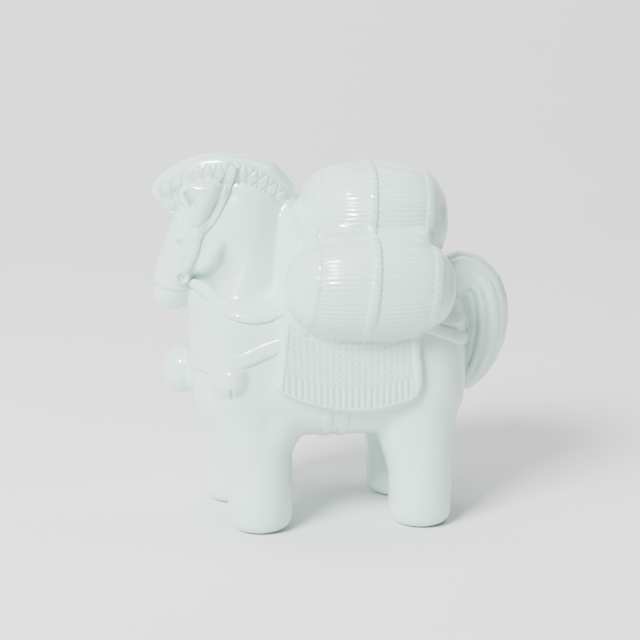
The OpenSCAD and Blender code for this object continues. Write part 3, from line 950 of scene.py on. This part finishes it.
def lay_disc(name, x, z, side, r, profile):
    """A round plate on the side of the head, turned up from a circle by insets."""
    bpy.ops.mesh.primitive_circle_add(vertices=40, radius=r * MM, fill_type="NGON",
                                      location=at(x, side * OUT, z),
                                      rotation=(side * math.pi / -2, 0, 0))
    bpy.ops.object.transform_apply(location=True, rotation=True, scale=True)
    o = bpy.context.object
    o.name = o.data.name = name
    bpy.ops.object.mode_set(mode="EDIT")
    bpy.ops.mesh.select_mode(type="FACE")
    bpy.ops.mesh.select_all(action="SELECT")
    for _ in range(DISC_RINGS):
        bpy.ops.mesh.inset(thickness=r * MM / (DISC_RINGS + 1))
    bpy.ops.mesh.poke()
    bpy.ops.mesh.select_all(action="SELECT")
    bpy.ops.mesh.normals_make_consistent(inside=False)
    bpy.ops.object.mode_set(mode="OBJECT")
    if o.data.polygons[0].normal.y * side < 0:
        o.data.flip_normals()
    down_to(glaze_skin, o)
    p = places(o)
    far = np.hypot(p[:, 0] - x, p[:, 2] - z) / r
    weigh(o, "raise", (profile(far) + SINK) / DISC_TOP)
    modifier(o, "even out", "SMOOTH", factor=0.5, iterations=30, use_x=False, use_z=False)
    modifier(o, "raise", "DISPLACE", direction="Y", vertex_group="raise", mid_level=0,
             strength=side * DISC_TOP * MM)
    modifier(o, "sink the edge", "DISPLACE", direction="Y", mid_level=0, strength=-side * SINK * MM)
    apply_all(o)
    o.vertex_groups.clear()
    modifier(o, "inside", "SOLIDIFY", thickness=INSIDE * MM, offset=-1)
    apply_all(o)
    return o


def button(r):
    """A low dome; r is 0 in the middle of the plate and 1 at its edge."""
    return 1.15 * np.sqrt(np.clip(1 - r ** 2.4, 0, 1)) - SINK * (r > 0.98)


def ring(r):
    """A raised ring with a small knob in its middle."""
    return 1.2 * np.exp(-((r - 0.66) / 0.24) ** 2) + 0.55 * np.exp(-(r / 0.22) ** 2) - SINK * (r > 0.93)


headstall_line = [(-32.4, 121.2), (-33.5, 117.6), (-34.8, 113.5), (-37.4, 108.2), (-40.4, 103),
                  (-44.9, 98.8)]
browband_line = [(-56.4, 3, 105.4), (-55.2, 5.4, 104.6), (-53, 7.8, 103.2), (-50, 9.4, 101),
                 (-47.4, 10.2, 99.6), (-44.9, 10.6, 98.8)]
halter, brow = [], []
for word, sign in (("left", -1), ("right", 1)):
    down = both_sides(headstall_line)[word]
    halter.append(lay_strap("halter", down, sideways(sign), 3.5, 0.8, glaze_skin, 0.35, 10, tip=1.2))
    over = [(x, sign * y, z) for x, y, z in browband_line]
    brow.append(lay_strap("brow", over, outward(-44), 3.4, 0.8, glaze_skin, 0.35, 10, tip=1.2))
    brow.append(lay_disc("rosette", -44.9, 99, sign, 2.3, button))
    straps["bit_ring_" + word] = lay_disc("glazed_bit_ring_" + word, -50.1, 84.5, sign, 3, ring)
straps["headstall"] = join(halter, "glazed_headstall")
straps["browband"] = join(brow, "glazed_browband")
print("halter:", len(straps["headstall"].data.polygons), len(straps["browband"].data.polygons), "faces")

# %% [markdown]
# ## Straw ropes
# Three ropes bind each bale. They sink into the straw, so only their outer half shows, and the
# twist is a row of slanted notches that also scallops their edges. In the valley between two
# bales the ropes are pressed in at a slant, because straight out from the bale there is no
# glaze to meet.

# %% Ropes
ROPE_W, TWIST = 4.4, 2.2  # mm, width of a rope and length of one twist
LEAN = 0.1  # how far a rope leans back on its bale, per height
NOTCH = 0.16  # how deep a notch is, as a part of the rope
VALLEY_Z = 100  # mm, height of the valley between the top bale and the side bales


def twisted(s, u):
    """The cross-section of a rope, with a slanted notch at every twist."""
    notch = waves(s + 0.9 * u, TWIST)
    edge = np.abs(u) * (1 + NOTCH * notch)
    return np.sqrt(np.clip(1 - edge ** 2.4, 0, 1)) * (1 - NOTCH * notch)


def bale_arc(dx, first, last, x, y, z, half_l, ry, rz):
    """An arc round a bale at dx from its middle, from the first to the last angle in degrees."""
    full = fullness(dx / half_l)
    arc = []
    for a in np.radians(np.linspace(first, last, 25)):
        arc.append((x + dx + LEAN * rz * math.sin(a),
                    y + ry * full * math.cos(a),
                    z + rz * full * math.sin(a)))
    return arc


def lay_rope(name, arc, y, z, rise):
    """A rope along the arc; up is away from the bale at (y, z), and slanted near the valley."""
    def normals(line):
        n = line - np.array([0, y, z])
        n[:, 0] = 0
        n = unit(n)
        nought = np.zeros(len(n))
        slant = np.stack([nought, np.sign(line[:, 1]), nought + 1], axis=1) / math.sqrt(2)
        near = np.clip(1.2 - np.abs(line[:, 2] - VALLEY_Z) / 5, 0, 1)[:, None]
        return n * (1 - near) + slant * near
    straps[name] = lay_strap("glazed_" + name, arc, normals, ROPE_W, rise, glaze_skin, 0.3, 14,
                             profile=twisted, tip=1.2, even=2)


for place, side_dx, top_dx, rise in (("front", -20, -21.2, 0.32), ("middle", -0.9, -3.8, 0.7),
                                     ("rear", 20, 16.2, 0.42)):
    for word, sign in (("left", -1), ("right", 1)):
        arc = bale_arc(side_dx, 94, -78, y=SIDE_BALE_Y, **SIDE_BALE)
        lay_rope(f"rope_{word}_{place}", [(a, sign * b, c) for a, b, c in arc], sign * SIDE_BALE_Y,
                 SIDE_BALE["z"], rise)
    lay_rope(f"rope_top_{place}", bale_arc(top_dx, -8, 188, **TOP_BALE), 0, TOP_BALE["z"], rise)
print("ropes:", {n: len(o.data.polygons) for n, o in straps.items() if n.startswith("rope")})

# %% [markdown]
# ## Ears, bells and feet
# The ears are hollow in front, the bells have a slit below, and the feet are ground flat, so
# that the figurine stands firmly. After that every piece is closed.

# %% Last touches on the skin pieces
GROUND_OFF = 0.25  # mm, how much of the feet is ground off


def slit(name, axis, middle, top_z):
    """A slit in the lower half of a bell, at the middle of its x (0) or its y (1)."""
    bell = pieces[name]
    refine(bell, 2)
    p = places(bell)
    weight = groove(p[:, axis] - middle, 1.0) * slope(top_z - p[:, 2], 1.2)
    press(bell, 0.6, weight, border_fade(bell, 0.8))


for word in ("left", "right"):
    ear = pieces["ear_" + word]
    refine(ear, 2)
    p = places(ear)
    s, u = along([(-49.4, 113.6), (-47.4, 110.4), (-45.4, 106.8)], p[:, 0], p[:, 2])
    slot = np.where(u < 0, np.exp(-(u / 1.1) ** 2), np.exp(-(u / 2.4) ** 2))
    press(ear, 1.4, slot * slope(s, 1.5) * slope(7.6 - s, 2.5), border_fade(ear, 0.8))
slit("bell_left", 0, -35.4, 51.4)
slit("bell_right", 0, -35.4, 51.4)
slit("bell_front", 1, 0, 50)
pick(casting)
bpy.ops.object.mode_set(mode="EDIT")
bpy.ops.mesh.select_mode(type="VERT")
bpy.ops.mesh.select_all(action="DESELECT")
bm = bmesh.from_edit_mesh(casting.data)
lowest = min(v.co.z for v in bm.verts)
for v in bm.verts:
    v.select_set(v.co.z < lowest + GROUND_OFF * MM)
bpy.ops.transform.resize(value=(1, 1, 0), center_override=(0, 0, 0))
bpy.ops.object.mode_set(mode="OBJECT")
print("feet were at", round(lowest / MM, 3), "mm and are ground flat at 0")
for o in pieces.values():
    close_holes(o)
print("closed:", {n: len(o.data.polygons) for n, o in pieces.items()})

# %% [markdown]
# ## Glaze and biscuit
# The glaze is a pale, cool white over a slightly rough body, with a hard clear coat. Where
# the pool attribute says so it turns greener and much darker: partly the deeper tint
# of glaze that pools, partly painted shade in the grooves, dimples, furrows and along the edges
# of the straps. It is never quite even: slow clouds change its tint, a fine ripple bends the
# reflections, and here and there a dark speck was in the clay. Where a foot stands on the kiln
# shelf the glaze is wiped off, and the bare biscuit is matt and warmer.

# %% Materials
def new_material(name):
    """A new material, with its nodes, its links and its shader."""
    m = bpy.data.materials.new(name)
    m.use_nodes = True
    return m, m.node_tree.nodes, m.node_tree.links, m.node_tree.nodes["Principled BSDF"]


def dial(node, values):
    """Set the named inputs of a node."""
    for name, value in values.items():
        node.inputs[name].default_value = value


def mix_colour(nodes, links, factor, a, b):
    """From a to b with the factor; each is a colour or the output of another node."""
    n = nodes.new("ShaderNodeMix")
    n.data_type = "RGBA"
    links.new(factor, n.inputs["Factor"])
    for socket, value in ((n.inputs["A"], a), (n.inputs["B"], b)):
        if isinstance(value, tuple):
            socket.default_value = value
        else:
            links.new(value, socket)
    return n.outputs["Result"]


def noise(nodes, links, coordinates, scale, detail=2.0):
    """Soft clouds, so many to the metre."""
    n = nodes.new("ShaderNodeTexNoise")
    dial(n, {"Scale": scale, "Detail": detail})
    links.new(coordinates, n.inputs["Vector"])
    return n.outputs["Fac"]


def ramp(nodes, links, value, low, high):
    """0 where the value is low, 1 where it is high."""
    n = nodes.new("ShaderNodeMapRange")
    dial(n, {"From Min": low, "From Max": high})
    links.new(value, n.inputs["Value"])
    return n.outputs["Result"]


def bump(nodes, links, height, strength, distance):
    """Fine relief from a height, as normals for a shader."""
    n = nodes.new("ShaderNodeBump")
    dial(n, {"Strength": strength, "Distance": distance})
    links.new(height, n.inputs["Height"])
    return n.outputs["Normal"]


def porcelain():
    """Cool white glaze, greener and darker where it pools and where shade is painted into the relief, with
    clouds, specks and a ripple.
    """
    m, nodes, links, shader = new_material("porcelain glaze")
    where = nodes.new("ShaderNodeTexCoord").outputs["Object"]
    pool = nodes.new("ShaderNodeAttribute")
    pool.attribute_name = "pool"
    clouds = ramp(nodes, links, noise(nodes, links, where, 45), 0.35, 0.65)
    body = mix_colour(nodes, links, clouds, (0.59, 0.795, 0.722, 1), (0.625, 0.815, 0.75, 1))
    # Painted shade: the colour turns darker and greener with the attribute, partly for pooled glaze and
    # partly as shade painted into the relief and along strap edges.
    pooled_and_shaded = mix_colour(nodes, links, pool.outputs["Fac"], body, (0.42, 0.63, 0.56, 1))
    specks = ramp(nodes, links, noise(nodes, links, where, 1400, 0), 0.86, 0.90)
    colour = mix_colour(nodes, links, specks, pooled_and_shaded, (0.5, 0.52, 0.48, 1))
    links.new(colour, shader.inputs["Base Color"])
    dial(shader, {"Roughness": 0.3, "Specular IOR Level": 0.5,
                  "Coat Weight": 1, "Coat Roughness": 0.02, "Coat IOR": 1.5})
    ripple = bump(nodes, links, noise(nodes, links, where, 160), 0.25, 0.2 * MM)
    links.new(ripple, shader.inputs["Normal"])
    links.new(ripple, shader.inputs["Coat Normal"])
    return m


def biscuit():
    """Bare fired clay: matt, warm and a little grainy."""
    m, nodes, links, shader = new_material("bare biscuit")
    where = nodes.new("ShaderNodeTexCoord").outputs["Object"]
    grain = ramp(nodes, links, noise(nodes, links, where, 1800, 3), 0.3, 0.7)
    colour = mix_colour(nodes, links, grain, (0.62, 0.57, 0.50, 1), (0.74, 0.70, 0.64, 1))
    links.new(colour, shader.inputs["Base Color"])
    dial(shader, {"Roughness": 0.9})
    links.new(bump(nodes, links, grain, 0.5, 0.1 * MM), shader.inputs["Normal"])
    return m


glaze, bare = porcelain(), biscuit()
for o in list(pieces.values()) + list(straps.values()):
    o.data.materials.clear()
    o.data.materials.append(glaze)
    if "pool" not in o.data.attributes:
        o.data.attributes.new("pool", "FLOAT", "POINT")
    pick(o)
    bpy.ops.object.shade_smooth()
casting.data.materials.append(bare)
for f in casting.data.polygons:
    if f.center.z < 0.02 * MM and f.normal.z < -0.99:  # flat on the ground
        f.material_index = 1
print("biscuit faces:", sum(f.material_index for f in casting.data.polygons))

# %% [markdown]
# ## Into the frame
# Every piece rides the one rigid body and takes the place of its CAD nodes. The casting takes
# the place of the body and the four legs, which are one hollow casting in the real figurine.

# %% Hand over the pieces and clear the bench
for n, o in {**pieces, **straps}.items():
    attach(o, "root")
    if n == "horse_casting":
        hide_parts("horse_body", "leg_front_left", "leg_front_right", "leg_hind_left", "leg_hind_right")
    else:
        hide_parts(n)
bench = list(lumps.values()) + fillings + [glaze_skin, horse_skin]
for o in bench:
    bpy.data.objects.remove(o)
print(len(pieces) + len(straps), "pieces in the frame")

# %% [markdown]
# ## Floor, light and camera
# The figurine stands on a pale sheet that sweeps up in a wide bend on all four sides. A broad
# soft light from the left and above makes the shading, one from above brightens the sheet
# behind, and a small lamp makes the crisp sparks in the glaze. The camera stands low, a little
# round towards the head.

# %% Stage
SHEET_UP, SHEET_BEND = 1.6, 0.6  # m, how high the sheet goes up, and how wide its bend is
bpy.ops.mesh.primitive_plane_add(size=1)
floor = bpy.context.object
floor.name = "floor_sheet"
floor.scale = (8, 6, 1)
floor.location = (0, -1.8, 0)
bpy.ops.object.transform_apply(location=True, rotation=True, scale=True)
bpy.ops.object.mode_set(mode="EDIT")
bpy.ops.mesh.select_mode(type="EDGE")
bpy.ops.mesh.select_all(action="DESELECT")
bm = bmesh.from_edit_mesh(floor.data)
for e in bm.edges:
    e.select_set(True)
bpy.ops.mesh.extrude_region_move(TRANSFORM_OT_translate={"value": (0, 0, SHEET_UP)})
bpy.ops.mesh.select_all(action="DESELECT")
bm = bmesh.from_edit_mesh(floor.data)
for e in bm.edges:
    e.select_set(all(v.co.z < 0.01 for v in e.verts))
bpy.ops.mesh.bevel(offset=SHEET_BEND, segments=24)
bpy.ops.object.mode_set(mode="OBJECT")
bpy.ops.object.shade_smooth()
sheet, nodes, links, shader = new_material("pale sheet")
where = nodes.new("ShaderNodeTexCoord").outputs["Object"]
patches = ramp(nodes, links, noise(nodes, links, where, 5, 4), 0.3, 0.7)
tone = mix_colour(nodes, links, patches, (0.80, 0.812, 0.80, 1), (0.825, 0.836, 0.824, 1))
links.new(tone, shader.inputs["Base Color"])
dial(shader, {"Roughness": 0.85})
floor.data.materials.append(sheet)
print("sheet:", len(floor.data.polygons), "faces")

# %% Lights and camera
WHITE = (1, 1, 1)


def area_light(name, place, aim, size, power):
    """A rectangular light at a place in metres, aimed at another, with its power in watts."""
    bpy.ops.object.light_add(type="AREA", location=place)
    lamp = bpy.context.object
    lamp.name = name
    lamp.rotation_euler = (Vector(aim) - Vector(place)).to_track_quat("-Z", "Y").to_euler()
    lamp.data.shape = "RECTANGLE"
    lamp.data.size, lamp.data.size_y = size
    lamp.data.energy = power
    lamp.data.color = WHITE
    return lamp


middle = Vector(at(0, 0, 60))
broad = area_light("broad light", (-0.82, -0.86, 1.0), middle, (0.6, 0.5), 68)
broad.visible_glossy = False  # it shades the forms and leaves no streaks on them
lamp = area_light("small lamp", (-0.28, -0.95, 1.05), middle, (0.2, 0.09), 36)
lamp.visible_diffuse = False  # it is seen only as a spark in the glaze
area_light("light on the sheet behind", (0, 0.2, 1.4), (0, 1.3, 0.4), (1.6, 0.6), 24)
world = bpy.data.worlds.new("room")
bpy.context.scene.world = world
world.use_nodes = True
dial(world.node_tree.nodes["Background"], {"Color": (0.93, 0.96, 0.955, 1), "Strength": 0.2})

AZIMUTH, ELEVATION = math.radians(-7.3), math.radians(11)
DISTANCE, LENS = 480, 78.6  # mm, from the figurine to the camera, and focal length
AIM_Z = 62  # mm, half the height of the figurine
TO_THE_RIGHT, UP = -3.1, 5.2  # mm, how far the view is moved from there
level = math.cos(ELEVATION)
back = Vector((math.sin(AZIMUTH) * level, -math.cos(AZIMUTH) * level, math.sin(ELEVATION)))
right = Vector((math.cos(AZIMUTH), math.sin(AZIMUTH), 0))
aim = Vector((0, 0, AIM_Z)) + TO_THE_RIGHT * right + UP * back.cross(right)
eye = aim + DISTANCE * back
bpy.ops.object.camera_add(location=at(*eye), rotation=back.to_track_quat("Z", "Y").to_euler())
camera = bpy.context.object
camera.data.lens = LENS
bpy.context.scene.camera = camera
print("camera at", [round(v, 3) for v in camera.location])
